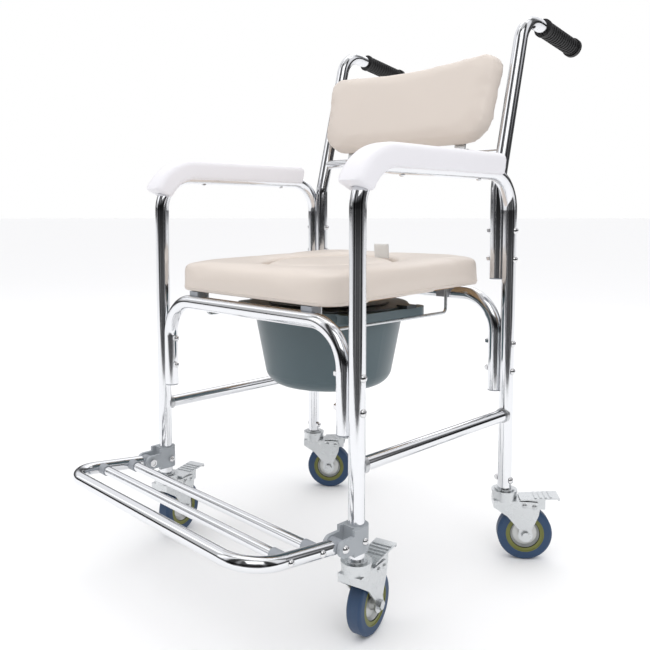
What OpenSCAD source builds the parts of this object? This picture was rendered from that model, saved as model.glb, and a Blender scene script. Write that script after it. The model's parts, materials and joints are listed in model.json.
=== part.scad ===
// Wheeled commode chair: bent tube frame, padded seat with a lift-out plug,
// bucket on two wires below it, folding footrest and four braked swivel casters.
// The front of the chair faces -Y, the floor is z = 0 and the origin lies on
// the floor in the middle of the four legs.

/* [Frame] */
// Distance between the left and right legs, centre to centre
leg_span_x = 510; // [460:1:620]
// Distance between the front and rear legs, centre to centre
leg_span_y = 406; // [360:1:500]
// Height of the arm rail's centre line
arm_z = 711; // [670:1:800]
// Height of the open lower ends of the legs
leg_end_z = 132.5; // [132:0.5:170]
// Diameter of the main tubes
tube_d = 25.4; // [22:0.1:32]
// Wall of all the tubes
tube_wall = 1.5; // [1:0.1:2.5]
// Centre line radius of the arm rail's bends
arm_bend_r = 65; // [50:1:80]
// Height of the lower side rails
side_rail_z = 270.5; // [220:1:300]
// Diameter of the lower side rails
side_rail_d = 22; // [16:0.5:24]
// Gap between two tubes that are bolted side by side
tube_gap = 0.2; // [0.1:0.1:1]

/* [Seat rails] */
// Height of the front cross tube's centre line
front_rail_z = 477; // [440:1:520]
// Height of the rear cross tube above the front one
rear_rail_rise = 12; // [0:1:20]
// Height of the open lower ends of the cross tubes
cross_end_z = 314; // [300:1:330]
// Centre line radius of the cross tubes' bends
cross_bend_r = 68; // [50:1:70]
// Heights of the two bolts through each cross tube's leg
cross_bolt_z = [352, 403];

/* [Backrest] */
// Height of the uprights' open lower ends
upright_end_z = 522; // [515:1:530]
// Heights of the two bolts through each upright
upright_bolt_z = [557, 609];
// Height where the uprights start to lean back
lean_z = 690; // [670:1:720]
// Lean of the uprights from the vertical
lean_angle = 14; // [8:0.5:20]
// Height of the corner between the upright and the push handle
handle_z = 1010; // [960:1:1060]
// Droop of the push handle below the horizontal
handle_droop = 9; // [0:0.5:15]
// Length of the push handle from that corner
handle_l = 192; // [170:1:240]
// Length of each push grip
grip_l = 126; // [110:1:140]
// Height of the tube between the uprights
back_rail_z = 751; // [735:1:760]
// Diameter of that tube
back_rail_d = 19; // [16:0.5:22]
// Width of the back cushion
back_w = 428; // [380:1:440]
// Height of the back cushion
back_h = 170; // [140:1:200]
// Thickness of the back cushion
back_t = 34; // [28:1:45]

/* [Arm pads] */
// Width of the arm pads
arm_pad_w = 48; // [40:1:54]
// Height of an arm pad's top above the tube's centre line
arm_pad_top = 34; // [26:1:38]

/* [Seat] */
// Width of the seat cushion
seat_w = 408; // [380:1:424]
// Depth of the seat cushion
seat_l = 414; // [380:1:418]
// Thickness of the seat cushion
seat_t = 50; // [40:1:60]
// How far the cushion reaches ahead of the front cross tube's centre line
seat_front = 3; // [0:1:14]
// Height of the cushion's underside above the cross tubes' centre lines
seat_lift = 20.5; // [18:0.5:26]
// Radius of the seat cushion's corners
seat_corner_r = 40; // [30:1:60]
// Diameter of the seat's hole
hole_d = 250; // [220:1:260]

/* [Bucket] */
// Diameter of the bucket just under its flange
bucket_d = 276; // [240:1:280]
// Diameter of the bucket near its floor
bucket_floor_d = 238; // [200:1:245]
// Height of the bucket
bucket_h = 147; // [130:1:180]
// Wall of the bucket
bucket_wall = 2.4; // [1.8:0.1:3.5]
// Distance of each bucket wire from the middle
wire_x = 150; // [146:1:154]
// Height of the bucket wires' centre line
wire_z = 454; // [448:1:456]

/* [Footrest] */
// Distance of the footrest pivots ahead of the front legs
pivot_y = 41; // [34:1:50]
// Height of the footrest pivots
pivot_z = 164; // [162:1:175]
// Length of the footrest from its pivots to the front tube's centre line
footrest_l = 163; // [150:1:200]
// Rise of the footrest towards the front
footrest_tilt = 6.5; // [0:0.5:8]
// Diameter of the footrest tube
footrest_d = 22; // [19:0.5:22]
// Diameter of the footrest's cross bars
bar_d = 16; // [12:0.5:18]
// Distances of the two cross bars ahead of the pivots
bar_y = [39, 99];

/* [Casters] */
// Diameter of the wheels
wheel_d = 100; // [90:1:102]
// Width of the tyres
tyre_w = 25; // [22:0.5:25]
// Distance of the axle behind the swivel axis
trail = 37; // [30:1:40]
// Direction in which each caster trails, from +X towards +Y
// (front left, front right, rear left, rear right)
trail_angle = [106, 103, 38, 39];

/* [Hidden] */
$fn = 48;

leg_x = leg_span_x / 2;
leg_y = leg_span_y / 2;
tube_r = tube_d / 2;
inner_x = leg_x - tube_d - tube_gap;      // centre line of the tubes bolted inside the legs
rear_rail_z = front_rail_z + rear_rail_rise;
clear = 0.3;                              // gap between pieces that move apart
running = 0.05;                           // radial clearance of pins that turn

// fasteners
bolt_d = 6;
bolt_clear = 0.15;                        // radial clearance of a bolt in its hole
head_d = 13;
head_h = 4.5;
nut_af = 10;
nut_h = 5;
cap_h = 3.5;

// ---------------------------------------------------------------- helpers

function unit(v) = v / norm(v);
function snap(v) = round(v * 1000) / 1000;
function heading(v) = atan2(v[1], v[0]);
function turn(a, b) = let (t = heading(b) - heading(a)) t > 180 ? t - 360 : t < -180 ? t + 360 : t;

// Centre line of a bent rod through the planar points pts: straight runs joined by arcs of radius r.
// Each run starts in the frame where the bend before it ends, so that their faces meet exactly.
module bent_rod(pts, r, d) {
    last = len(pts) - 1;
    bends = [for (i = [1:1:last - 1]) turn(pts[i] - pts[i - 1], pts[i + 1] - pts[i])];
    cut = concat([0], [for (bend = bends) r * tan(abs(bend) / 2)], [0]);
    runs = [for (i = [0:last - 1]) snap(norm(pts[i + 1] - pts[i]) - cut[i] - cut[i + 1])];
    translate([pts[0][0], pts[0][1], 0]) rotate([0, 0, heading(pts[1] - pts[0])])
        rod_chain(runs, bends, r, d);
}
module rod_chain(runs, bends, r, d, i = 0) {
    rotate([0, 90, 0]) cylinder(d = d, h = runs[i]);
    if (i < len(bends)) {
        side = bends[i] > 0 ? 1 : -1;
        square_bend = abs(bends[i]) == 90;
        if (!square_bend) translate([runs[i], 0, 0]) die_mark(d);
        translate([runs[i], side * r, 0]) {
            rotate([0, 0, side > 0 ? -90 : 90 + bends[i]])
                rotate_extrude(angle = abs(bends[i])) translate([r, 0]) circle(d = d);
            rotate([0, 0, bends[i]]) translate([0, -side * r, 0]) {
                if (!square_bend) die_mark(d);
                rod_chain(runs, bends, r, d, i + 1);
            }
        }
    }
}
// Faint ring that a bending die leaves where an odd angled bend starts and ends
mark_w = 1.2;
mark_rise = 0.1;
module die_mark(d) rotate([0, 90, 0]) cylinder(d = d + 2 * mark_rise, h = mark_w, center = true);

// The same path with its two ends longer by extra
function stretched(pts, extra) = let (last = len(pts) - 1) [for (i = [0:last])
    i == 0 ? pts[0] - extra * unit(pts[1] - pts[0])
    : i == last ? pts[last] + extra * unit(pts[last] - pts[last - 1]) : pts[i]];

module bent_tube(pts, r, d) {
    difference() {
        bent_rod(pts, r, d);
        bent_rod(stretched(pts, 1), r, d - 2 * tube_wall);
    }
}

// Lays a planar drawing into the plane x = const (drawn X becomes Y, drawn Y becomes Z)
module in_yz(x) translate([x, 0, 0]) rotate([90, 0, 90]) children();
// Lays a planar drawing into the plane y = const (drawn Y becomes Z)
module in_xz(y) translate([0, y, 0]) rotate([90, 0, 0]) children();
// Left and right copies
module both_sides() {
    children();
    mirror([1, 0, 0]) children();
}
// Cylinder along X that starts at x = from
module rod_x(from, to, y, z, d)
    translate([from, y, z]) rotate([0, 90, 0]) cylinder(d = d, h = to - from);

// Domed screw head, flat side on z = 0
module dome(d, h) {
    ball_r = (d * d / 4 + h * h) / (2 * h);
    intersection() {
        translate([0, 0, h - ball_r]) sphere(r = ball_r);
        cylinder(d = d, h = h);
    }
}

// Cap nut with a bore for its bolt, flat side on z = 0
module cap_nut() {
    difference() {
        union() {
            cylinder(d = nut_af / cos(30), h = nut_h, $fn = 6);
            translate([0, 0, nut_h]) dome(nut_af - 1, cap_h);
        }
        translate([0, 0, -1]) cylinder(d = bolt_d + 2 * bolt_clear, h = nut_h + 1);
    }
}

// Rectangle with round corners
module round_rect(w, l, r) {
    square([w - 2 * r, l], center = true);
    square([w, l - 2 * r], center = true);
    for (sx = [-1, 1], sy = [-1, 1]) translate([sx * (w / 2 - r), sy * (l / 2 - r)]) circle(r = r);
}

// ---------------------------------------------------------------- side frames

side_path = [[-leg_y, leg_end_z], [-leg_y, arm_z], [leg_y, arm_z], [leg_y, leg_end_z]];
arm_screw_y = [-105, 101];
arm_screw_d = 5;
leg_bolt_z = 148;                         // bolt that holds a rear caster's stem
clamp_z = pivot_z - 1;                    // bolt that holds a footrest bracket

module side_frame() {
    difference() {
        in_yz(leg_x) bent_tube(side_path, arm_bend_r, tube_d);
        for (z = cross_bolt_z, y = [-leg_y, leg_y]) bolt_hole(y, z);
        for (z = upright_bolt_z) bolt_hole(leg_y, z);
        bolt_hole(leg_y, leg_bolt_z);
        bolt_hole(-leg_y, clamp_z);
        for (y = arm_screw_y) translate([leg_x, y, arm_z - tube_r - 2])
            cylinder(d = arm_screw_d + 2 * bolt_clear, h = tube_d + 4);
    }
}
module bolt_hole(y, z) rod_x(inner_x - tube_d, leg_x + tube_d, y, z, bolt_d + 2 * bolt_clear);

module side_frame_left() color("gainsboro") mirror([1, 0, 0]) side_frame();
module side_frame_right() color("gainsboro") side_frame();

module side_rails() color("gainsboro") both_sides() difference() {
    translate([leg_x, leg_y, side_rail_z]) rotate([90, 0, 0]) cylinder(d = side_rail_d, h = leg_span_y);
    translate([leg_x, leg_y + 1, side_rail_z]) rotate([90, 0, 0])
        cylinder(d = side_rail_d - 2 * tube_wall, h = leg_span_y + 2);
    for (y = [-leg_y, leg_y]) translate([leg_x, y, side_rail_z - tube_d])
        cylinder(d = tube_d, h = 2 * tube_d);
}

weld_w = 2.4;
module rail_welds() color("silver") both_sides() for (s = [-1, 1]) difference() {
    translate([leg_x, s * (leg_y - tube_r * 0.5), side_rail_z]) rotate([s * 90, 0, 0])
        cylinder(d = side_rail_d + 2 * weld_w, h = tube_r * 0.5 + weld_w);
    translate([leg_x, s * leg_y, side_rail_z]) rotate([s * 90, 0, 0])
        cylinder(d = side_rail_d + 0.1, h = leg_span_y / 2);
    translate([leg_x, s * leg_y, side_rail_z - tube_d]) cylinder(d = tube_d, h = 2 * tube_d);
}

// ---------------------------------------------------------------- cross tubes

module cross_tube(y, z) {
    path = [[-inner_x, cross_end_z], [-inner_x, z], [inner_x, z], [inner_x, cross_end_z]];
    difference() {
        in_xz(y) bent_tube(path, cross_bend_r, tube_d);
        both_sides() for (z = cross_bolt_z) bolt_hole(y, z);
    }
}
module front_cross_tube() color("gainsboro") cross_tube(-leg_y, front_rail_z);
module rear_cross_tube() color("gainsboro") cross_tube(leg_y, rear_rail_z);

plug_flange = 2;
plug_l = 12;
module end_plug(x, y, z) translate([x, y, z]) {
    translate([0, 0, -plug_flange]) cylinder(d = tube_d - 1, h = plug_flange);
    cylinder(d = tube_d - 2 * tube_wall - 0.2, h = plug_l);
}
module tube_end_plugs() color("dimgray") both_sides() {
    end_plug(inner_x, -leg_y, cross_end_z);
    end_plug(inner_x, leg_y, cross_end_z);
    end_plug(inner_x, leg_y, upright_end_z);
}

// One bolt along X: dome head outside the leg, shank ends in the nut
module frame_bolt(inner_face, y, z) {
    translate([leg_x + tube_r + clear / 3, y, z]) rotate([0, 90, 0]) dome(head_d, head_h);
    rod_x(inner_face - nut_h + 1, leg_x + tube_r + 1, y, z, bolt_d);
}
module frame_nut(inner_face, y, z)
    translate([inner_face - clear / 3, y, z]) rotate([0, -90, 0]) cap_nut();

module at_frame_bolts() both_sides() {
    for (z = cross_bolt_z, y = [-leg_y, leg_y]) place_bolt(inner_x - tube_r, y, z) children();
    for (z = upright_bolt_z) place_bolt(inner_x - tube_r, leg_y, z) children();
    place_bolt(leg_x - tube_r, leg_y, leg_bolt_z) children();
}
module place_bolt(inner_face, y, z) {
    $inner_face = inner_face;
    $at_y = y;
    $at_z = z;
    children();
}
module frame_bolts() color("silver") at_frame_bolts() frame_bolt($inner_face, $at_y, $at_z);
module frame_nuts() color("silver") at_frame_bolts() frame_nut($inner_face, $at_y, $at_z);

// ---------------------------------------------------------------- backrest

function lean_y(z) = leg_y + tan(lean_angle) * (z - lean_z);
handle_corner = [lean_y(handle_z), handle_z];
handle_end = handle_corner + handle_l * [cos(handle_droop), -sin(handle_droop)];
upright_path = [[leg_y, upright_end_z], [leg_y, lean_z], handle_corner, handle_end];
top_bend_r = 50;

module back_upright() difference() {
    in_yz(inner_x) bent_tube(upright_path, top_bend_r, tube_d);
    for (z = upright_bolt_z) bolt_hole(leg_y, z);
}
module back_upright_left() color("gainsboro") mirror([1, 0, 0]) back_upright();
module back_upright_right() color("gainsboro") back_upright();

// Frame of the leaning backrest: z runs up along the uprights from the back rail, +y is behind them
module on_lean() translate([0, lean_y(back_rail_z), back_rail_z]) rotate([-lean_angle, 0, 0]) children();

module back_cross_tube() color("gainsboro") difference() {
    rod_x(-inner_x, inner_x, lean_y(back_rail_z), back_rail_z, back_rail_d);
    rod_x(-inner_x - 1, inner_x + 1, lean_y(back_rail_z), back_rail_z, back_rail_d - 2 * tube_wall);
    both_sides() on_lean() translate([inner_x, 0, -60]) cylinder(d = tube_d, h = 120);
}

strap_x = 140;
strap_w = 24;
strap_t = 3;
strap_back = back_rail_d / 2 + clear;     // the strap's rear face, ahead of the rail's centre
board_back = strap_back + strap_t;        // rear face of the board and of the cushion
board_t = 8;
cushion_low = back_rail_d / 2 + 7;        // the cushion's lower edge above the back rail
back_screw_z = [cushion_low + 30, cushion_low + back_h - 50];
strap_l = back_screw_z[1] + 20;

module back_straps() color("silver") on_lean() both_sides() translate([strap_x, 0, 0]) {
    difference() {
        union() {
            translate([-strap_w / 2, -board_back, 0]) cube([strap_w, strap_t, strap_l]);
            rotate([0, 90, 0]) cylinder(r = board_back, h = strap_w, center = true);
        }
        rotate([0, 90, 0]) cylinder(d = back_rail_d + 0.1, h = strap_w + 2, center = true);
        for (z = back_screw_z) translate([0, 0, z]) rotate([90, 0, 0])
            cylinder(d = 5.3, h = 60, center = true);
    }
}
module back_board() color("burlywood") on_lean() difference() {
    translate([0, -board_back, cushion_low + back_h / 2]) rotate([90, 0, 0]) linear_extrude(board_t)
        round_rect(back_w - 70, back_h - 40, 40);
    both_sides() for (z = back_screw_z) translate([strap_x, -board_back + 1, z]) rotate([90, 0, 0])
        cylinder(d = 5.3, h = board_t + 2);
}
module back_screws() color("silver") on_lean() both_sides() for (z = back_screw_z) {
    translate([strap_x, -strap_back + 0.1, z]) rotate([-90, 0, 0]) dome(10, 3.2);
    translate([strap_x, -strap_back + 1, z]) rotate([90, 0, 0]) cylinder(d = 5, h = strap_t + board_t - 1);
}

// Outline of the back cushion: wide round shoulders, a shallow dip between them, narrower below
back_top_r = 34;
back_low_r = 58;
back_dip = 9;
back_taper = 12;
function arc(c, r, from, to, n) = [for (i = [0:n]) let (a = from + (to - from) * i / n)
    c + r * [cos(a), sin(a)]];
back_outline_right = concat(
    arc([back_w / 2 - back_taper - back_low_r, -back_h / 2 + back_low_r], back_low_r, -90, -4, 8),
    arc([back_w / 2 - back_top_r, back_h / 2 - back_top_r], back_top_r, 0, 80, 6),
    [for (x = [0.6, 0.4, 0.2]) [x * back_w / 2, back_h / 2 - back_dip * cos(x * 130) - 1]]);
back_outline = concat(back_outline_right,
    [[0, back_h / 2 - back_dip - 1]],
    [for (i = [len(back_outline_right) - 1:-1:0]) [-back_outline_right[i][0], back_outline_right[i][1]]]);

module back_cushion() color("antiquewhite") on_lean() difference() {
    translate([0, -board_back, cushion_low + back_h / 2]) rotate([90, 0, 0]) linear_extrude(back_t)
        polygon(back_outline);
    translate([0, -board_back + 1, cushion_low + back_h / 2]) rotate([90, 0, 0])
        linear_extrude(board_t + 1 + clear) round_rect(back_w - 70 + 2 * clear, back_h - 40 + 2 * clear, 40);
}

grip_wall = 3;
grip_end = 4;
grip_rib = 1.2;
grip_ribs = 14;
module push_grip() in_yz(inner_x)
    translate([handle_end[0], handle_end[1], 0]) rotate([0, 0, -handle_droop]) rotate([0, 90, 0])
    difference() {
        union() {
            translate([0, 0, -grip_l + grip_end]) cylinder(d = tube_d + 2 * grip_wall, h = grip_l);
            translate([0, 0, grip_end - 8]) cylinder(d = tube_d + 2 * grip_wall + 7, h = 8);
            translate([0, 0, grip_end - grip_l]) cylinder(d = tube_d + 2 * grip_wall + 5, h = 5);
            for (i = [1:grip_ribs]) translate([0, 0, grip_end - grip_l + i * grip_l / (grip_ribs + 1.6)])
                cylinder(d = tube_d + 2 * (grip_wall + grip_rib), h = 3.4);
        }
        translate([0, 0, -grip_l + grip_end - 1]) cylinder(d = tube_d + 0.1, h = grip_l - grip_end + 1.1);
    }
module push_grip_left() color("black") mirror([1, 0, 0]) push_grip();
module push_grip_right() color("black") push_grip();

// ---------------------------------------------------------------- arm pads

arm_pad_low = -5;                         // lower edge of the pad's skirts
arm_pad_front_angle = 66;
arm_pad_rear_angle = 10;
arm_pad_edge_r = 10;                      // rounding of the top edges
arm_pad_channel = tube_d + 0.3;           // width of the channel for the arm rail
module arm_pad_section() difference() {
    union() {
        translate([arm_pad_low, arm_pad_edge_r - arm_pad_w / 2])
            square([arm_pad_top - arm_pad_low, arm_pad_w - 2 * arm_pad_edge_r]);
        translate([arm_pad_low, -arm_pad_w / 2])
            square([arm_pad_top - arm_pad_edge_r - arm_pad_low, arm_pad_w]);
        for (s = [-1, 1]) translate([arm_pad_top - arm_pad_edge_r, s * (arm_pad_w / 2 - arm_pad_edge_r)])
            circle(r = arm_pad_edge_r);
    }
    circle(d = arm_pad_channel);
    translate([arm_pad_low - 1, -arm_pad_channel / 2]) square([1 - arm_pad_low, arm_pad_channel]);
}
module arm_pad() difference() {
    translate([leg_x, 0, 0]) {
        straight = leg_y - arm_bend_r;
        translate([0, straight, arm_z]) rotate([90, 0, 0]) linear_extrude(2 * straight)
            rotate([0, 0, 90]) arm_pad_section();
        translate([0, -straight, arm_z - arm_bend_r]) rotate([90, 0, 90]) rotate([0, 0, 90])
            rotate_extrude(angle = arm_pad_front_angle) translate([arm_bend_r, 0]) arm_pad_section();
        translate([0, straight, arm_z - arm_bend_r]) rotate([90, 0, 90]) rotate([0, 0, 90]) mirror([0, 1, 0])
            rotate_extrude(angle = arm_pad_rear_angle) translate([arm_bend_r, 0]) arm_pad_section();
    }
    for (y = arm_screw_y) translate([leg_x, y, arm_z]) cylinder(d = arm_screw_d + 2 * bolt_clear, h = 24);
}
module arm_pad_left() color("whitesmoke") mirror([1, 0, 0]) arm_pad();
module arm_pad_right() color("whitesmoke") arm_pad();
module arm_pad_screws() color("silver") both_sides() for (y = arm_screw_y) {
    translate([leg_x, y, arm_z - tube_r - 0.1]) rotate([180, 0, 0]) dome(10, 3);
    translate([leg_x, y, arm_z - tube_r - 1]) cylinder(d = arm_screw_d, h = tube_d + 8);
}

// ---------------------------------------------------------------- seat

// Frame of the seat: the front cross tube's centre line is y = 0, z = 0 and
// the rear one's is z = 0 too
seat_tilt = atan(rear_rail_rise / leg_span_y);
rear_tube_y = norm([rear_rail_rise, leg_span_y]);
module on_rails() translate([0, -leg_y, front_rail_z]) rotate([seat_tilt, 0, 0]) children();

seat_mid = seat_l / 2 - seat_front;
seat_board_t = 10;
board_inset = 9;
plug_gap = 2.5;
board_hole_d = hole_d - 36;
module seat_outline(inset) translate([0, seat_mid])
    round_rect(seat_w - 2 * inset, seat_l - 2 * inset, seat_corner_r - inset);

hole_y = 203;                             // centre of the seat's hole behind the front tube
module seat_cushion() color("antiquewhite") on_rails() translate([0, 0, seat_lift]) difference() {
    union() {
        linear_extrude(seat_t - 7) seat_outline(0);
        translate([0, 0, seat_t - 7.01]) linear_extrude(4.01) seat_outline(2.5);
        translate([0, 0, seat_t - 3.01]) linear_extrude(3.01) seat_outline(7);
    }
    translate([0, 0, -1]) linear_extrude(seat_board_t + 1 + clear) seat_outline(board_inset - clear);
    translate([0, hole_y, 0]) cylinder(d = hole_d, h = seat_t + 1);
}
module seat_board() color("burlywood") on_rails() translate([0, 0, seat_lift]) difference() {
    linear_extrude(seat_board_t) seat_outline(board_inset);
    translate([0, hole_y, -1]) cylinder(d = board_hole_d, h = seat_board_t + 2);
}

clip_wall = 4;
clip_drop = 9;                            // how far a clip reaches below the tube's centre line
front_clip = [150, 24];                   // distance from the middle, width
rear_clip = [120, 28];
// Hook over the top and the inner side of a cross tube that lies along X
module seat_clip(w) difference() {
    translate([-w / 2, -2, -clip_drop]) cube([w, tube_r + clip_wall + 2, seat_lift + clip_drop]);
    rotate([0, 90, 0]) cylinder(d = tube_d + 2 * clear, h = w + 2, center = true);
    translate([-w / 2 - 1, -3, -clip_drop - 1]) cube([w + 2, tube_r + clear + 3, clip_drop + 1]);
}
module seat_clips() color("dimgray") on_rails() both_sides() {
    translate([front_clip[0], 0, 0]) seat_clip(front_clip[1]);
    translate([rear_clip[0], rear_tube_y, 0]) mirror([0, 1, 0]) seat_clip(rear_clip[1]);
}

plug_low = seat_board_t + clear;
plug_recess = 3;
module seat_plug() color("antiquewhite") on_rails() translate([0, hole_y, seat_lift + plug_low]) {
    cylinder(d = hole_d - 2 * plug_gap, h = seat_t - plug_low - plug_recess - 4);
    translate([0, 0, seat_t - plug_low - plug_recess - 4.01])
        cylinder(d = hole_d - 2 * plug_gap - 8, h = 4.01);
    translate([0, 0, -plug_low - 3]) cylinder(d = board_hole_d - 4, h = plug_low + 3.01);
}
tab_w = 28;
tab_h = 30;
tab_t = 1.6;
tab_azimuth = 72;                         // place of the pull tab on the plug's rim, from +X
tab_lean = 12;
module plug_tab() color("white") on_rails()
    translate([0, hole_y, seat_lift + seat_t - plug_recess + 0.1]) rotate([0, 0, tab_azimuth - 90])
    translate([-tab_w / 2, hole_d / 2 - plug_gap - 6, 0]) rotate([tab_lean, 0, 0])
    cube([tab_w, tab_t, tab_h]);

// ---------------------------------------------------------------- bucket and its wires

wire_d = 6;
wire_bend_r = 9;
wire_y = [28 - leg_y, 360 - leg_y];       // upright ends of each wire
wire_top = rear_rail_z + seat_lift + 5;   // above the board's underside, where the wires are cut off
foot_d = 16;
foot_t = 2;
// Level wires below the tilted seat, each end welded to a foot on the board's underside
module pan_rails() color("silver") both_sides() difference() {
    union() {
        in_yz(wire_x) bent_rod([[wire_y[0], wire_top], [wire_y[0], wire_z],
            [wire_y[1], wire_z], [wire_y[1], wire_top]], wire_bend_r, wire_d);
        on_rails() for (y = wire_y) translate([wire_x, y + leg_y, seat_lift - foot_t])
            cylinder(d = foot_d, h = foot_t);
    }
    on_rails() translate([wire_x - foot_d, 0, seat_lift]) cube([2 * foot_d, leg_span_y, seat_t]);
}

bucket_y = -5;                            // the bucket's axis
flange_t = 15;
flange_w = 2 * (wire_x + 4);              // the two wings reach over the wires
flange_l = 214;
wing_w = 28;
plate_t = 4;                              // thin plate that joins the wings
rim_d = bucket_d + 26;                    // round part of the flange
floor_fillet = 32;
bucket_top = wire_z + wire_d / 2 + clear + flange_t;
module bucket_body(inset) {
    low = bucket_top - bucket_h + inset;
    high = bucket_top + (inset > 0 ? 1 : 0);
    r_low = bucket_floor_d / 2 - inset;
    r_high = bucket_d / 2 - inset;
    rotate_extrude() polygon(concat([[0, low]],
        arc([r_low - floor_fillet, low + floor_fillet], floor_fillet, -90, -5, 8),
        [[r_high, bucket_top - flange_t], [r_high, high], [0, high]]));
}
module bucket() color("slategray") translate([0, bucket_y, 0]) difference() {
    union() {
        bucket_body(0);
        translate([0, 0, bucket_top - flange_t]) linear_extrude(flange_t) difference() {
            round_rect(flange_w, flange_l, 26);
            square([flange_w - 2 * wing_w, flange_l + 2], center = true);
        }
        translate([0, 0, bucket_top - flange_t]) cylinder(d = rim_d, h = flange_t);
        translate([0, 0, bucket_top - plate_t]) linear_extrude(plate_t)
            round_rect(flange_w - 20, flange_l - 16, 26);
    }
    bucket_body(bucket_wall);
}

lid_t = 3;
lid_d = bucket_d + 20;
lid_tab = [24, 26, 6];
module bucket_lid() color("darkslategray") translate([0, bucket_y, bucket_top + clear]) {
    cylinder(d = lid_d, h = lid_t);
    translate([0, 0, lid_t]) cylinder(d = lid_d - 70, h = 3);
    translate([lid_d / 2 - 12, 34, 0]) cube(lid_tab);
    translate([-lid_d / 2 - 12, -60, 0]) cube(lid_tab);
    difference() {
        translate([0, 0, -7]) cylinder(d = bucket_d - 2 * bucket_wall - 3, h = 7);
        translate([0, 0, -8]) cylinder(d = bucket_d - 2 * bucket_wall - 9, h = 8);
    }
}

// ---------------------------------------------------------------- footrest

bracket_wall = 5.2;
bracket_low = pivot_z - 18;
bracket_high = pivot_z + 21;
knuckle_gap = 0.5;
cheek_r = 12.5;
pivot_d = 8;
cheek_in = footrest_d / 2 + knuckle_gap;
cheek_out = cheek_in + 6;
// Ring around the front leg with a fork for the end of the footrest tube
module footrest_bracket() difference() {
    union() {
        translate([leg_x, -leg_y, bracket_low])
            cylinder(r = tube_r + bracket_wall, h = bracket_high - bracket_low);
        translate([leg_x - cheek_out, -leg_y - 23, bracket_low])
            cube([2 * cheek_out, 23, bracket_high - bracket_low]);
        rod_x(leg_x - cheek_out, leg_x + cheek_out, -leg_y - pivot_y, pivot_z, 2 * cheek_r);
        translate([leg_x - cheek_out, -leg_y - pivot_y, pivot_z - cheek_r])
            cube([2 * cheek_out, pivot_y - 22, 2 * cheek_r]);
    }
    translate([leg_x, -leg_y, bracket_low - 1])
        cylinder(r = tube_r + 0.1, h = bracket_high - bracket_low + 2);
    translate([leg_x - cheek_in, -leg_y - 90, bracket_low - 1])
        cube([2 * cheek_in, 90 - tube_r - bracket_wall + 1.5, bracket_high - bracket_low + 2]);
    bolt_hole(-leg_y, clamp_z);
    rod_x(leg_x - 2 * cheek_out, leg_x + 2 * cheek_out, -leg_y - pivot_y, pivot_z, pivot_d + 2 * bolt_clear);
}
module footrest_bracket_left() color("lightslategray") mirror([1, 0, 0]) footrest_bracket();
module footrest_bracket_right() color("lightslategray") footrest_bracket();

clamp_face = max(cheek_out, tube_r + bracket_wall) + 0.1;  // seat of the clamp bolt's head and nut
module footrest_bolts() color("silver") both_sides() {
    translate([leg_x + clamp_face, -leg_y, clamp_z]) rotate([0, 90, 0]) dome(11, 4);
    rod_x(leg_x - clamp_face - 4, leg_x + clamp_face + 1, -leg_y, clamp_z, bolt_d);
    translate([leg_x + cheek_out + 0.1, -leg_y - pivot_y, pivot_z]) rotate([0, 90, 0]) dome(13, 4.5);
    rod_x(leg_x - cheek_out - 4, leg_x + cheek_out + 1, -leg_y - pivot_y, pivot_z, pivot_d);
}
module footrest_nuts() color("silver") both_sides() {
    translate([leg_x - clamp_face, -leg_y, clamp_z]) rotate([0, -90, 0]) cap_nut();
    translate([leg_x - cheek_out - 0.1, -leg_y - pivot_y, pivot_z]) rotate([0, -90, 0]) difference() {
        cylinder(d = 15, h = 5, $fn = 6);
        translate([0, 0, -1]) cylinder(d = pivot_d + 2 * bolt_clear, h = 7);
    }
}

// Frame of the footrest: the pivot line is y = 0, z = 0 and the tubes run towards -y
module on_pivot() translate([0, -leg_y - pivot_y, pivot_z]) rotate([-footrest_tilt, 0, 0]) children();

footrest_bend_r = 55;
knuckle_l = 15;                           // the tube starts this far ahead of the pivot
screw_hole_d = 5;
barrel_l = 2 * (cheek_in - clear);        // end piece across the bracket's fork
module footrest_frame() color("gainsboro") on_pivot() difference() {
    bent_tube([[-leg_x, -knuckle_l], [-leg_x, -footrest_l], [leg_x, -footrest_l], [leg_x, -knuckle_l]],
        footrest_bend_r, footrest_d);
    for (y = bar_y) rod_x(-leg_x - footrest_d, leg_x + footrest_d, -y, 0, screw_hole_d + 2 * bolt_clear);
}
bar_plug_l = 16;
bar_end = leg_x - footrest_d / 2 - bar_plug_l;
module footrest_bars() color("gainsboro") on_pivot() for (y = bar_y) difference() {
    rod_x(-bar_end, bar_end, -y, 0, bar_d);
    rod_x(-bar_end - 1, bar_end + 1, -y, 0, bar_d - 2 * tube_wall);
}
// Plugs that join the bars to the side tubes, and the end pieces that turn in the brackets
module footrest_plugs() color("gray") on_pivot() both_sides() {
    for (y = bar_y) difference() {
        union() {
            rod_x(bar_end + 0.1, leg_x, -y, 0, bar_d + 3);
            rod_x(bar_end - 18, bar_end + 1, -y, 0, bar_d - 2 * tube_wall - 0.2);
        }
        translate([leg_x, -y, 0]) rotate([90, 0, 0]) cylinder(d = footrest_d + 0.2, h = 60, center = true);
        rod_x(bar_end - 20, leg_x, -y, 0, screw_hole_d + 2 * bolt_clear);
    }
    difference() {
        union() {
            rod_x(leg_x - barrel_l / 2, leg_x + barrel_l / 2, 0, 0, footrest_d - 1);
            translate([leg_x, 0, 0]) rotate([90, 0, 0]) cylinder(d = footrest_d, h = knuckle_l - 0.1);
            translate([leg_x, -knuckle_l + 1, 0]) rotate([90, 0, 0])
                cylinder(d = footrest_d - 2 * tube_wall - 0.2, h = 18);
        }
        rod_x(leg_x - footrest_d, leg_x + footrest_d, 0, 0, pivot_d + 2 * running);
    }
}
module footrest_screws() color("silver") on_pivot() both_sides() for (y = bar_y) {
    translate([leg_x + footrest_d / 2 + 0.1, -y, 0]) rotate([0, 90, 0]) dome(11, 3.6);
    rod_x(bar_end - 8, leg_x + footrest_d / 2 + 1, -y, 0, screw_hole_d);
}

// ---------------------------------------------------------------- casters

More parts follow.
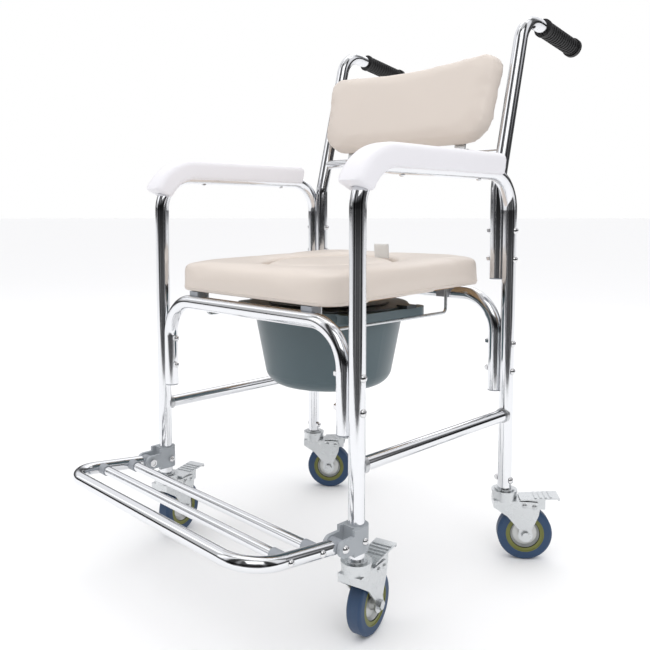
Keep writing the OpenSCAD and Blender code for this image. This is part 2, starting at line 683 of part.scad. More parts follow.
axle_z = wheel_d / 2;
king_d = 10;
race_d = 47;
race_top = leg_end_z;
race_low = race_top - 7;                  // lower face of the fixed race
fork_top = race_low - clear;              // top of the turning race
fork_plate = 109;                         // underside of the fork's top plate
fork_plate_t = 4;
cheek_t = 3;
cheek_gap = 33;                           // between the fork's cheeks
axle_d = 8;
stem_l = 46;
corners = [[-1, -1], [1, -1], [-1, 1], [1, 1]];  // front left, front right, rear left, rear right

// Stands a caster's own frame (swivel axis at the origin, trailing along +x) at corner i
module at_corner(i) translate([corners[i][0] * leg_x, corners[i][1] * leg_y, 0])
    rotate([0, 0, trail_angle[i]]) children();

module caster_stems() color("silver") for (i = [0:3])
    translate([corners[i][0] * leg_x, corners[i][1] * leg_y, 0]) difference() {
        union() {
            translate([0, 0, race_low]) cylinder(d = race_d, h = 4);
            translate([0, 0, race_low + 4]) cylinder(d = 36, h = race_top - race_low - 4 - 0.1);
            translate([0, 0, race_top - 1]) cylinder(d = tube_d - 2 * tube_wall - 0.3, h = stem_l);
            translate([0, 0, fork_plate - 1]) cylinder(d = king_d, h = race_low - fork_plate + 2);
            translate([0, 0, fork_plate - clear - 3]) cylinder(d = 17, h = 3);
        }
        bolt_hole_here(i < 2 ? clamp_z : leg_bolt_z);
    }
module bolt_hole_here(z) translate([-tube_d, 0, z]) rotate([0, 90, 0])
    cylinder(d = bolt_d + 2 * bolt_clear, h = 2 * tube_d);

pin_d = 6;
pedal_pin = [52, 104];                    // the brake pedal's pivot
spring_pin = [34, fork_plate - 3.4];
cheek_outline = [[-21, fork_plate + fork_plate_t], [40, fork_plate + fork_plate_t],
    [58, 112], [62, 102], [60, 88],
    [trail + 11, axle_z + 10], [trail + 13, axle_z], [trail - 13, axle_z], [trail - 12, axle_z + 10],
    [4, 84], [-21, 100]];
module caster_fork() difference() {
    union() {
        for (s = [-1, 1]) translate([0, s * (cheek_gap + cheek_t) / 2, 0]) rotate([90, 0, 0])
            translate([0, 0, -cheek_t / 2]) linear_extrude(cheek_t) {
                polygon(cheek_outline);
                translate([trail, axle_z]) circle(r = 13);
            }
        translate([-21, -cheek_gap / 2 - 1, fork_plate]) cube([58, cheek_gap + 2, fork_plate_t]);
        translate([-21, -cheek_gap / 2 - 1, 100]) cube([3, cheek_gap + 2, fork_plate - 99]);
        translate([0, 0, fork_plate + 1]) cylinder(d = race_d - 2, h = fork_top - fork_plate - 1);
    }
    translate([0, 0, fork_plate - 1]) cylinder(d = king_d + 2 * running, h = 30);
    for (p = [[trail, axle_z, axle_d], concat(pedal_pin, pin_d), concat(spring_pin, pin_d)])
        translate([p[0], 0, p[1]]) rotate([90, 0, 0])
            cylinder(d = p[2] + 2 * bolt_clear, h = 60, center = true);
}
cheek_face = cheek_gap / 2 + cheek_t;     // outer face of a cheek
module caster_axle() {
    translate([trail, 0, axle_z]) {
        rotate([90, 0, 0]) cylinder(d = axle_d, h = 2 * cheek_face + 8, center = true);
        translate([0, -cheek_face - 0.1, 0]) rotate([90, 0, 0]) cylinder(d = 13 / cos(30), h = 5.5, $fn = 6);
        translate([0, cheek_face + 0.1, 0]) rotate([-90, 0, 0]) cylinder(d = 13 / cos(30), h = 6.5, $fn = 6);
    }
    for (p = [pedal_pin, spring_pin]) translate([p[0], 0, p[1]]) {
        rotate([90, 0, 0]) cylinder(d = pin_d, h = 2 * cheek_face + 1, center = true);
        for (s = [-1, 1]) translate([0, s * (cheek_face + 0.1), 0]) rotate([-s * 90, 0, 0]) dome(9, 2.4);
    }
}

hub_w = cheek_gap - 1.6;
rim_r = 33;
module caster_wheel() translate([trail, 0, axle_z]) rotate([90, 0, 0])
    rotate_extrude() polygon([[axle_d / 2 + running, -hub_w / 2], [10, -hub_w / 2], [12, -8], [22, -6],
        [27, -tyre_w / 2 + 1], [rim_r, -tyre_w / 2 + 1], [rim_r, tyre_w / 2 - 1], [27, tyre_w / 2 - 1],
        [22, 6], [12, 8], [10, hub_w / 2], [axle_d / 2 + running, hub_w / 2]]);
module caster_tyre() translate([trail, 0, axle_z]) rotate([90, 0, 0])
    rotate_extrude() polygon(concat([[rim_r, -tyre_w / 2]],
        arc([wheel_d / 2 - 7, -tyre_w / 2 + 7], 7, -90, -25, 4),
        arc([wheel_d / 2 - 7, tyre_w / 2 - 7], 7, 25, 90, 4),
        [[rim_r, tyre_w / 2]]));

pedal_w = 36;
pedal_from = 27;
pedal_to = 97;
pedal_rise = 5;
pedal_z = 114;
pedal_t = 2.5;
ear_w = 2;
ear_out = cheek_gap / 2 - 0.8;
function pedal_mid(x) = pedal_z + (x - pedal_from) * tan(pedal_rise) + pedal_t / 2;
module caster_pedal() difference() {
    union() {
        translate([pedal_from, -pedal_w / 2, pedal_z]) rotate([0, -pedal_rise, 0]) {
            cube([pedal_to - pedal_from, pedal_w, pedal_t]);
            for (x = [26, 35, 44, 53]) translate([x, 2, pedal_t - 0.1]) cube([4, pedal_w - 4, 1.5]);
            translate([pedal_to - pedal_from - 3, 0, -3]) cube([3, pedal_w, 4]);
        }
        for (s = [-1, 1]) translate([0, s * (ear_out - ear_w / 2), 0]) rotate([90, 0, 0])
            translate([0, 0, -ear_w / 2]) linear_extrude(ear_w) {
                polygon([[43, 104], [43, pedal_mid(43)], [72, pedal_mid(72)], [72, 99], [60, 98.5]]);
                translate(pedal_pin) circle(r = 6);
            }
        translate([60.5, -ear_out + 0.5, 98.5]) cube([9, 2 * ear_out - 1, 4]);
    }
    translate([pedal_pin[0], 0, pedal_pin[1]]) rotate([90, 0, 0])
        cylinder(d = pin_d + 2 * running, h = 60, center = true);
}

module caster_fork_fl() color("silver") at_corner(0) caster_fork();
module caster_fork_fr() color("silver") at_corner(1) caster_fork();
module caster_fork_rl() color("silver") at_corner(2) caster_fork();
module caster_fork_rr() color("silver") at_corner(3) caster_fork();
module caster_axle_fl() color("silver") at_corner(0) caster_axle();
module caster_axle_fr() color("silver") at_corner(1) caster_axle();
module caster_axle_rl() color("silver") at_corner(2) caster_axle();
module caster_axle_rr() color("silver") at_corner(3) caster_axle();
module caster_wheel_fl() color("darkkhaki") at_corner(0) caster_wheel();
module caster_wheel_fr() color("darkkhaki") at_corner(1) caster_wheel();
module caster_wheel_rl() color("darkkhaki") at_corner(2) caster_wheel();
module caster_wheel_rr() color("darkkhaki") at_corner(3) caster_wheel();
module caster_tyre_fl() color("steelblue") at_corner(0) caster_tyre();
module caster_tyre_fr() color("steelblue") at_corner(1) caster_tyre();
module caster_tyre_rl() color("steelblue") at_corner(2) caster_tyre();
module caster_tyre_rr() color("steelblue") at_corner(3) caster_tyre();
module caster_pedal_fl() color("silver") at_corner(0) caster_pedal();
module caster_pedal_fr() color("silver") at_corner(1) caster_pedal();
module caster_pedal_rl() color("silver") at_corner(2) caster_pedal();
module caster_pedal_rr() color("silver") at_corner(3) caster_pedal();

// ---------------------------------------------------------------- nodes

side_frame_left();
side_frame_right();
side_rails();
rail_welds();
front_cross_tube();
rear_cross_tube();
tube_end_plugs();
frame_bolts();
frame_nuts();
back_upright_left();
back_upright_right();
back_cross_tube();
back_straps();
back_board();
back_screws();
back_cushion();
push_grip_left();
push_grip_right();
arm_pad_left();
arm_pad_right();
arm_pad_screws();
pan_rails();
footrest_bracket_left();
footrest_bracket_right();
footrest_bolts();
footrest_nuts();
caster_stems();
seat_board();
seat_cushion();
seat_clips();
seat_plug();
plug_tab();
bucket();
bucket_lid();
footrest_frame();
footrest_bars();
footrest_plugs();
footrest_screws();
caster_fork_fl();
caster_fork_fr();
caster_fork_rl();
caster_fork_rr();
caster_axle_fl();
caster_axle_fr();
caster_axle_rl();
caster_axle_rr();
caster_wheel_fl();
caster_wheel_fr();
caster_wheel_rl();
caster_wheel_rr();
caster_tyre_fl();
caster_tyre_fr();
caster_tyre_rl();
caster_tyre_rr();
caster_pedal_fl();
caster_pedal_fr();
caster_pedal_rl();
caster_pedal_rr();
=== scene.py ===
"""Dresses the commode chair: padded seat, plug and backrest, arm pads, grips, finishes and a studio."""

import json
import math

import bmesh
import bpy
from mathutils import Euler, Matrix, Vector


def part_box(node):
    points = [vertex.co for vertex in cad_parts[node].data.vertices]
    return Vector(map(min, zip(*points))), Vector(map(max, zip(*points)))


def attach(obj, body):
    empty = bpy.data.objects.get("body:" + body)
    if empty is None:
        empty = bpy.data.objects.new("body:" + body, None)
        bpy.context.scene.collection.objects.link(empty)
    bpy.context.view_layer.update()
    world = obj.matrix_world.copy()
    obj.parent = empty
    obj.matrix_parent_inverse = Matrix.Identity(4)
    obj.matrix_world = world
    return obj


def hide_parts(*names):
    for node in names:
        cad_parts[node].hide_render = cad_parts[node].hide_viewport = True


bl_info = {
    "name": "Commode Chair",
    "version": (1, 0, 0),
    "blender": (4, 5, 0),
    "location": "3D View > Sidebar > Commode Chair",
    "description": "Pads, grips, finishes and a studio for a wheeled commode chair",
    "category": "Object",
}

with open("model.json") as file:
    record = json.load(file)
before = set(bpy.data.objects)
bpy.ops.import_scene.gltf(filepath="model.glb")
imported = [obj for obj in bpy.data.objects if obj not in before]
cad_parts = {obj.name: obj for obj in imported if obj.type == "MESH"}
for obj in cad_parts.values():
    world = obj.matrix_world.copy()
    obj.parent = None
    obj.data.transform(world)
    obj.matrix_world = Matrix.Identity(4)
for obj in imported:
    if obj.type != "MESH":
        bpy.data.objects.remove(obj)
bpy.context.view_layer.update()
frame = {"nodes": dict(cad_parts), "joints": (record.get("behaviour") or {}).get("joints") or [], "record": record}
NODES = frame["nodes"]

MM = 0.001

# Two small dimples in the seat's top: along X, and behind the front rail
DIMPLES = ((0.109, 0.292), (-0.030, 0.065))
DIMPLE_R = 0.009
DIMPLE_DEPTH = 0.003

# Radii of a wheel's rings
RING_INNER = 0.0266
RING_LINE = (0.0260, 0.0272)
RING_OUTER = 0.0345
TREAD_R = 0.049

# Studio lights: name, place, size and power
LIGHTS = (("key_light", (2.2, -1.6, 3.0), 2.4, 24), ("fill_light", (-2.4, -2.2, 2.2), 2.6, 10),
          ("top_light", (0.0, 0.4, 3.6), 3.0, 14), ("rim_light", (-1.2, 2.6, 2.4), 2.0, 8))
AIM = (0, 0, 0.5)

# The room's grey levels by height, between straight down and straight up
ROOM_BELOW = (0.75, 0.75, 0.75)
ROOM_ABOVE = (1, 1, 1)
ROOM_HEIGHTS = ((0.47, 0.75), (0.5, 0.12), (0.6, 0.06), (0.68, 0.95))
ROOM_BLUE = 1.03
# The room's brightness round the compass, between opposite the camera and towards it
ROOM_BEHIND = (1, 1, 1)
ROOM_AHEAD = (0.12, 0.12, 0.13)
ROOM_COMPASS = ((0.30, 1.0), (0.36, 0.15), (0.44, 0.10), (0.50, 0.95), (0.70, 0.9),
                (0.76, 0.05), (0.88, 0.04), (0.93, 0.35), (0.96, 0.06))
CORNERS = ("fl", "fr", "rl", "rr")
SIDES = {"left": -1, "right": 1}

# ------------------------------------------------------------ places taken from the frame


def mount(name):
    """The place of one of the record's mounts."""
    return next(m for m in frame["record"]["mounts"] if m["name"] == name)


def joint(name):
    """One of the record's joints."""
    return next(j for j in frame["joints"] if j["name"] == name)


def tube_of(node):
    """Middle, in y and z, and radius of a tube whose highest stretch lies along X."""
    low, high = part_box(node)
    radius = (high[1] - low[1]) / 2
    return (low[1] + high[1]) / 2, high[2] - radius, radius


RAIL_Y, RAIL_Z, TUBE_R = tube_of("front_cross_tube")
SEAT_UP = Vector(mount("seat_top")["axis"]).normalized()
SEAT_TILT = math.atan2(-SEAT_UP.y, SEAT_UP.z)
RAILS = Matrix.Translation((0, RAIL_Y, RAIL_Z)) @ Matrix.Rotation(SEAT_TILT, 4, "X")
ARM_TOP = Vector(mount("arm_top_right")["pos_m"])


def front_of(node):
    """The direction in which a leaning board's front face looks."""
    total = Vector()
    for face in NODES[node].data.polygons:
        if face.normal.y < -0.9:
            total += face.normal * face.area
    return total.normalized()


def wheel_place(corner):
    """Middle of a wheel and its axis."""
    roll = joint("wheel_roll_" + corner)
    return Vector(roll["pos_m"]), Vector(roll["axis"])


# ------------------------------------------------------------ settings


class ChairPads(bpy.types.PropertyGroup):
    """Sizes of the padded pieces."""

    seat_rise: bpy.props.FloatProperty(
        name="Seat underside", description="Height of the seat's underside above the rails",
        default=0.0205, unit="LENGTH")
    seat_thick: bpy.props.FloatProperty(
        name="Seat thickness", description="Thickness of the seat pad", default=0.05, unit="LENGTH")
    hole_y: bpy.props.FloatProperty(
        name="Hole place", description="Middle of the seat's hole behind the front rail",
        default=0.203, unit="LENGTH")
    hole_r: bpy.props.FloatProperty(
        name="Hole radius", description="Radius of the seat's hole", default=0.125, unit="LENGTH")
    plug_gap: bpy.props.FloatProperty(
        name="Plug gap", description="Gap between the plug and the hole", default=0.0025, unit="LENGTH")
    voxel: bpy.props.FloatProperty(
        name="Mesh size", description="Size of the pads' remeshed faces", default=0.005, unit="LENGTH")
    pressure: bpy.props.FloatProperty(
        name="Pressure", description="Pressure that swells the pads", default=4.0)
    seat_swell: bpy.props.FloatProperty(
        name="Seat swell", description="Most that the seat pad may swell", default=0.007, unit="LENGTH")
    back_swell: bpy.props.FloatProperty(
        name="Back swell", description="Most that the back pad may swell", default=0.007, unit="LENGTH")
    piping_r: bpy.props.FloatProperty(
        name="Piping radius", description="Radius of the seat's welt", default=0.0013, unit="LENGTH")
    welt_rise: bpy.props.FloatProperty(
        name="Welt height", description="Height of the welt above the seat's underside", default=0.007,
        unit="LENGTH")
    corner_r: bpy.props.FloatProperty(
        name="Seat corners", description="Radius of the seat's corners", default=0.04, unit="LENGTH")


class ChairFinishes(bpy.types.PropertyGroup):
    """Colours of the finishes."""

    vinyl: bpy.props.FloatVectorProperty(
        name="Vinyl", description="Colour of the seat and back", subtype="COLOR",
        default=(0.70, 0.625, 0.56))
    foam: bpy.props.FloatVectorProperty(
        name="Arm pads", description="Colour of the arm pads", subtype="COLOR", default=(0.84, 0.83, 0.86))
    bucket: bpy.props.FloatVectorProperty(
        name="Bucket", description="Colour of the bucket", subtype="COLOR", default=(0.085, 0.125, 0.14))
    lid: bpy.props.FloatVectorProperty(
        name="Lid", description="Colour of the bucket's lid", subtype="COLOR", default=(0.03, 0.04, 0.045))
    tyre: bpy.props.FloatVectorProperty(
        name="Tyres", description="Colour of the tyres", subtype="COLOR", default=(0.02, 0.055, 0.125))
    ring: bpy.props.FloatVectorProperty(
        name="Wheel rings", description="Colour of the wheels' outer ring", subtype="COLOR",
        default=(0.16, 0.17, 0.035))


class ChairStage(bpy.types.PropertyGroup):
    """Studio and camera."""

    floor: bpy.props.FloatVectorProperty(
        name="Floor", description="Colour of the floor", subtype="COLOR", default=(0.9, 0.9, 0.9))
    floor_half: bpy.props.FloatProperty(
        name="Floor size", description="Half the side of the square floor", default=60.0, unit="LENGTH")
    floor_near: bpy.props.FloatProperty(
        name="Floor edge", description="How far the floor reaches from the chair towards the camera",
        default=1.45, unit="LENGTH")
    eye: bpy.props.FloatVectorProperty(
        name="Camera place", description="Where the camera stands", subtype="TRANSLATION",
        unit="LENGTH", default=(0.9658, -0.9774, 0.6384))
    yaw: bpy.props.FloatProperty(
        name="Turn", description="Camera's turn from +Y towards -X", default=0.7998, subtype="ANGLE")
    pitch: bpy.props.FloatProperty(
        name="Dip", description="Camera's dip below the horizon", default=0.076, subtype="ANGLE")
    lens: bpy.props.FloatProperty(name="Lens", description="Focal length in millimetres", default=40.65)
    shift: bpy.props.FloatVectorProperty(
        name="Shift", description="Sideways and upward shift of the view", size=2,
        default=(0.0143, -0.084))


# ------------------------------------------------------------ meshes


def add_object(name, mesh):
    """Links a new object that shows the mesh."""
    obj = bpy.data.objects.new(name, mesh)
    bpy.context.scene.collection.objects.link(obj)
    return obj


def finish_mesh(bm, name):
    """Turns a bmesh into an object, with its faces outwards."""
    bmesh.ops.remove_doubles(bm, verts=bm.verts, dist=1e-6)
    bmesh.ops.recalc_face_normals(bm, faces=bm.faces)
    mesh = bpy.data.meshes.new(name)
    bm.to_mesh(mesh)
    bm.free()
    mesh.polygons.foreach_set("use_smooth", [True] * len(mesh.polygons))
    return add_object(name, mesh)


def copy_of_node(node, name):
    """A merged copy of a CAD node's mesh."""
    bm = bmesh.new()
    bm.from_mesh(NODES[node].data)
    bmesh.ops.remove_doubles(bm, verts=bm.verts, dist=1e-5)
    mesh = bpy.data.meshes.new(name)
    bm.to_mesh(mesh)
    bm.free()
    mesh.materials.clear()
    return add_object(name, mesh)


def bake_modifiers(obj):
    """Replaces the object's mesh by what its modifiers make of it."""
    graph = bpy.context.evaluated_depsgraph_get()
    mesh = bpy.data.meshes.new_from_object(obj.evaluated_get(graph))
    obj.modifiers.clear()
    obj.data = mesh


def remesh(obj, size):
    """Gives the object an even mesh of small faces."""
    step = obj.modifiers.new("even_mesh", "REMESH")
    step.mode = "VOXEL"
    step.voxel_size = size
    bake_modifiers(obj)
    obj.data.polygons.foreach_set("use_smooth", [True] * len(obj.data.polygons))


def soften(obj, times, held):
    """Rounds the mesh, apart from the points for which held(place) is true."""
    bm = bmesh.new()
    bm.from_mesh(obj.data)
    free = [v for v in bm.verts if not held(v.co)]
    for _ in range(times):
        bmesh.ops.smooth_vert(bm, verts=free, factor=0.5, use_axis_x=True, use_axis_y=True, use_axis_z=True)
    bm.to_mesh(obj.data)
    bm.free()


# Share of the swelling that firm foam lets through
FIRMNESS = 0.6


def swell(obj, pressure, most, held):
    """Swells the pad as cloth over foam, and lets no point move further than most."""
    rest = [v.co.copy() for v in obj.data.vertices]
    pins = obj.vertex_groups.new(name="pins")
    pins.add([i for i, place in enumerate(rest) if held(place)], 1.0, "REPLACE")
    cloth = obj.modifiers.new("cloth", "CLOTH")
    cloth.settings.use_pressure = True
    cloth.settings.uniform_pressure_force = pressure
    cloth.settings.effector_weights.gravity = 0
    cloth.settings.vertex_group_mass = pins.name
    cloth.point_cache.frame_start = 1
    cloth.point_cache.frame_end = 20
    for number in range(1, 21):
        bpy.context.scene.frame_set(number)
    bake_modifiers(obj)
    bpy.context.scene.frame_set(1)
    for vertex, place in zip(obj.data.vertices, rest):
        step = vertex.co - place
        if step.length > most:
            step = step.normalized() * most
        vertex.co = place + step * FIRMNESS
    obj.vertex_groups.clear()


def subdivide(obj):
    """One level of subdivision, the same in the view and the render."""
    step = obj.modifiers.new("subdivision", "SUBSURF")
    step.levels = 1
    step.render_levels = 1


def set_place(bm, matrix):
    """Moves a new shape to its place, in its mesh."""
    bmesh.ops.transform(bm, matrix=matrix, verts=bm.verts)


# ------------------------------------------------------------ shader helpers


def new_group(name, inputs, outputs):
    """An empty shader group with named sockets, and its two end nodes."""
    tree = bpy.data.node_groups.new(name, "ShaderNodeTree")
    for label, kind, value in inputs:
        socket = tree.interface.new_socket(label, in_out="INPUT", socket_type=kind)
        if value is not None:
            socket.default_value = value
    for label, kind in outputs:
        tree.interface.new_socket(label, in_out="OUTPUT", socket_type=kind)
    return tree, tree.nodes.new("NodeGroupInput"), tree.nodes.new("NodeGroupOutput")


def add_node(tree, kind, settings=None, **values):
    """Adds a node, sets its options and its input values."""
    node = tree.nodes.new(kind)
    for option, value in (settings or {}).items():
        setattr(node, option, value)
    for label, value in values.items():
        node.inputs[label.replace("_", " ")].default_value = value
    return node


def math_node(tree, operation, a, b=None):
    """A maths node whose inputs are sockets or numbers. Returns its output."""
    node = tree.nodes.new("ShaderNodeMath")
    node.operation = operation
    for slot, value in enumerate((a, b)):
        if value is None:
            continue
        if isinstance(value, (int, float)):
            node.inputs[slot].default_value = value
        else:
            tree.links.new(value, node.inputs[slot])
    return node.outputs[0]


FLOAT, COLOUR, VECTOR = "NodeSocketFloat", "NodeSocketColor", "NodeSocketVector"


def to_unit(tree, value):
    """Brings a value between -1 and 1 to between 0 and 1."""
    return math_node(tree, "ADD", math_node(tree, "MULTIPLY", value, 0.5), 0.5)


def fill_ramp(ramp, first, last, spots, blue=1.0):
    """Gives a colour ramp its two end colours and the grey levels between them."""
    elements = ramp.color_ramp.elements
    elements[0].color = (*first, 1)
    elements[1].color = (*last, 1)
    for spot, level in spots:
        elements.new(spot).color = (level, level, level * blue, 1)


def make_surface_group():
    """Uneven colour, roughness and height that every finish shares: broad mottle and fine grain."""
    tree, start, end = new_group(
        "uneven_surface",
        [("Vector", VECTOR, None), ("Colour", COLOUR, (0.8, 0.8, 0.8, 1)), ("Mottle", FLOAT, 0.06),
         ("Mottle Scale", FLOAT, 14.0), ("Grain Scale", FLOAT, 900.0), ("Roughness", FLOAT, 0.4),
         ("Roughness Spread", FLOAT, 0.1)],
        [("Colour", COLOUR), ("Roughness", FLOAT), ("Height", FLOAT)])
    link = tree.links.new
    broad = add_node(tree, "ShaderNodeTexNoise", Detail=4.0, Roughness=0.55)
    link(start.outputs["Vector"], broad.inputs["Vector"])
    link(start.outputs["Mottle Scale"], broad.inputs["Scale"])
    grain = add_node(tree, "ShaderNodeTexNoise", Detail=3.0, Roughness=0.6)
    link(start.outputs["Vector"], grain.inputs["Vector"])
    link(start.outputs["Grain Scale"], grain.inputs["Scale"])
    centred = math_node(tree, "SUBTRACT", broad.outputs["Fac"], 0.5)
    level = math_node(tree, "ADD", math_node(tree, "MULTIPLY", centred, start.outputs["Mottle"]), 1.0)
    tint = add_node(tree, "ShaderNodeVectorMath", {"operation": "SCALE"})
    link(start.outputs["Colour"], tint.inputs[0])
    link(level, tint.inputs["Scale"])
    link(tint.outputs[0], end.inputs["Colour"])
    mixed = math_node(tree, "ADD", centred, math_node(tree, "SUBTRACT", grain.outputs["Fac"], 0.5))
    spread = math_node(tree, "MULTIPLY", mixed, start.outputs["Roughness Spread"])
    link(math_node(tree, "ADD", spread, start.outputs["Roughness"]), end.inputs["Roughness"])
    link(grain.outputs["Fac"], end.inputs["Height"])
    return tree


def make_hide_group():
    """Pebbled grain of embossed vinyl: small soft cells with creases between them."""
    tree, start, end = new_group(
        "embossed_hide", [("Vector", VECTOR, None), ("Scale", FLOAT, 700.0)], [("Height", FLOAT)])
    link = tree.links.new
    bend = add_node(tree, "ShaderNodeTexNoise", Scale=160.0, Detail=2.0)
    link(start.outputs["Vector"], bend.inputs["Vector"])
    nudge = add_node(tree, "ShaderNodeVectorMath", {"operation": "MULTIPLY_ADD"})
    link(bend.outputs["Color"], nudge.inputs[0])
    nudge.inputs[1].default_value = (0.0015, 0.0015, 0.0015)
    link(start.outputs["Vector"], nudge.inputs[2])
    cells = add_node(tree, "ShaderNodeTexVoronoi", {"feature": "DISTANCE_TO_EDGE"})
    link(nudge.outputs[0], cells.inputs["Vector"])
    link(start.outputs["Scale"], cells.inputs["Scale"])
    soft = math_node(tree, "POWER", math_node(tree, "MINIMUM", cells.outputs["Distance"], 0.35), 0.6)
    link(soft, end.inputs["Height"])
    return tree


GROUPS = {}


def group(name, make):
    """A shared shader group, built once."""
    if name not in GROUPS:
        GROUPS[name] = make()
    return GROUPS[name]


def new_material(name, colour, roughness, spread=0.1, mottle=0.06, mottle_scale=14.0, grain=900.0,
                 bump=0.1, stretch=(1, 1, 1), **constants):
    """A finish on the shared uneven surface. Constants go on the shader's own sockets."""
    material = bpy.data.materials.new(name)
    material.use_nodes = True
    tree = material.node_tree
    shader = tree.nodes["Principled BSDF"]
    for label, value in constants.items():
        shader.inputs[label.replace("_", " ")].default_value = value
    place = tree.nodes.new("ShaderNodeTexCoord")
    turn = tree.nodes.new("ShaderNodeMapping")
    turn.inputs["Scale"].default_value = stretch
    tree.links.new(place.outputs["Object"], turn.inputs["Vector"])
    surface = tree.nodes.new("ShaderNodeGroup")
    surface.node_tree = group("surface", make_surface_group)
    for label, value in (("Colour", (*colour, 1)), ("Mottle", mottle), ("Mottle Scale", mottle_scale),
                         ("Grain Scale", grain), ("Roughness", roughness), ("Roughness Spread", spread)):
        surface.inputs[label].default_value = value
    tree.links.new(turn.outputs["Vector"], surface.inputs["Vector"])
    tree.links.new(surface.outputs["Colour"], shader.inputs["Base Color"])
    tree.links.new(surface.outputs["Roughness"], shader.inputs["Roughness"])
    relief = tree.nodes.new("ShaderNodeBump")
    relief.inputs["Strength"].default_value = bump
    relief.inputs["Distance"].default_value = 0.0002
    tree.links.new(surface.outputs["Height"], relief.inputs["Height"])
    tree.links.new(relief.outputs["Normal"], shader.inputs["Normal"])
    return material


def parts_of(material):
    """The nodes that the special finishes build on."""
    nodes = material.node_tree.nodes
    find = {n.bl_idname: n for n in nodes}
    return (material.node_tree, nodes["Principled BSDF"], find["ShaderNodeMapping"],
            find["ShaderNodeGroup"], find["ShaderNodeBump"])


def vinyl_finish(name, colour):
    """Embossed vinyl: pebbled grain over a soft sheen."""
    material = new_material(name, colour, 0.42, 0.12, 0.05, 9.0, bump=0.35,
                            Specular_IOR_Level=0.45, Coat_Weight=0.08, Coat_Roughness=0.35)
    tree, _, turn, surface, relief = parts_of(material)
    hide = tree.nodes.new("ShaderNodeGroup")
    hide.node_tree = group("hide", make_hide_group)
    tree.links.new(turn.outputs["Vector"], hide.inputs["Vector"])
    height = math_node(tree, "ADD", hide.outputs["Height"],
                       math_node(tree, "MULTIPLY", surface.outputs["Height"], 0.3))
    tree.links.new(height, relief.inputs["Height"])
    return material


def plywood_finish(name):
    """Plywood: long grain on the faces, and darker glue lines between the plies on the edges."""
    material = new_material(name, (0.42, 0.27, 0.14), roughness=0.6, spread=0.15, mottle=0.5,
                            mottle_scale=30.0, grain=500.0, bump=0.3, stretch=(1, 8, 8))
    tree, shader, _, surface, _ = parts_of(material)
    place = tree.nodes.new("ShaderNodeTexCoord")
    split = tree.nodes.new("ShaderNodeSeparateXYZ")
    tree.links.new(place.outputs["Object"], split.inputs[0])
    plies = math_node(tree, "FRACT", math_node(tree, "MULTIPLY", split.outputs["Z"], 400.0))
    line = math_node(tree, "LESS_THAN", plies, 0.25)
    dark = add_node(tree, "ShaderNodeMix", {"data_type": "RGBA", "blend_type": "MULTIPLY"})
    tree.links.new(math_node(tree, "MULTIPLY", line, 0.35), dark.inputs["Factor"])
    tree.links.new(surface.outputs["Colour"], dark.inputs["A"])
    dark.inputs["B"].default_value = (0.45, 0.35, 0.25, 1)
    tree.links.new(dark.outputs["Result"], shader.inputs["Base Color"])
    return material


def weave_finish(name):
    """Woven ribbon: warp and weft follow the ribbon's own map."""
    material = new_material(name, (0.8, 0.8, 0.78), 0.8, 0.1, 0.05, Sheen_Weight=0.3)
    tree, shader, _, surface, relief = parts_of(material)
    map_node = tree.nodes.new("ShaderNodeUVMap")
    split = tree.nodes.new("ShaderNodeSeparateXYZ")
    tree.links.new(map_node.outputs["UV"], split.inputs[0])
    warp = math_node(tree, "SINE", math_node(tree, "MULTIPLY", split.outputs["X"], 150.0))
    weft = math_node(tree, "SINE", math_node(tree, "MULTIPLY", split.outputs["Y"], 330.0))
    cloth = math_node(tree, "MULTIPLY", warp, weft)
    tree.links.new(math_node(tree, "ADD", cloth, surface.outputs["Height"]), relief.inputs["Height"])
    relief.inputs["Strength"].default_value = 0.6
    return material


def radius_in_wheel(tree, corner):
    """Distance from a wheel's axle, in metres."""
    middle, axis = wheel_place(corner)
    place = tree.nodes.new("ShaderNodeTexCoord")
    away = add_node(tree, "ShaderNodeVectorMath", {"operation": "SUBTRACT"})
    tree.links.new(place.outputs["Object"], away.inputs[0])
    away.inputs[1].default_value = middle
    across = add_node(tree, "ShaderNodeVectorMath", {"operation": "CROSS_PRODUCT"})
    tree.links.new(away.outputs[0], across.inputs[0])
    across.inputs[1].default_value = axis
    size = add_node(tree, "ShaderNodeVectorMath", {"operation": "LENGTH"})
    tree.links.new(across.outputs[0], size.inputs[0])
    return size.outputs["Value"]


def band(tree, radius, inner, outer):
    """A mask that is 1 between two radii."""
    return math_node(tree, "MULTIPLY", math_node(tree, "GREATER_THAN", radius, inner),
                     math_node(tree, "LESS_THAN", radius, outer))


def tinted(tree, base, mask, colour):
    """Lays a colour over base where the mask is 1."""
    mix = add_node(tree, "ShaderNodeMix", {"data_type": "RGBA"})
    tree.links.new(mask, mix.inputs["Factor"])
    tree.links.new(base, mix.inputs["A"])
    mix.inputs["B"].default_value = (*colour, 1)
    return mix.outputs["Result"]


def wheel_finish(corner, ring):
    """Zinc disc with an olive rubber ring near its rim and a dark line inside the ring."""
    material = new_material("wheel_disc_" + corner, (0.62, 0.63, 0.62), roughness=0.4, spread=0.15,
                            mottle=0.15, mottle_scale=60.0, bump=0.15)
    tree, shader, _, surface, _ = parts_of(material)
    radius = radius_in_wheel(tree, corner)
    olive = math_node(tree, "GREATER_THAN", radius, RING_INNER)
    colour = tinted(tree, surface.outputs["Colour"], olive, tuple(ring))
    line = band(tree, radius, *RING_LINE)
    tree.links.new(tinted(tree, colour, line, (0.01, 0.012, 0.008)), shader.inputs["Base Color"])
    tree.links.new(math_node(tree, "SUBTRACT", 1.0, olive), shader.inputs["Metallic"])
    return material


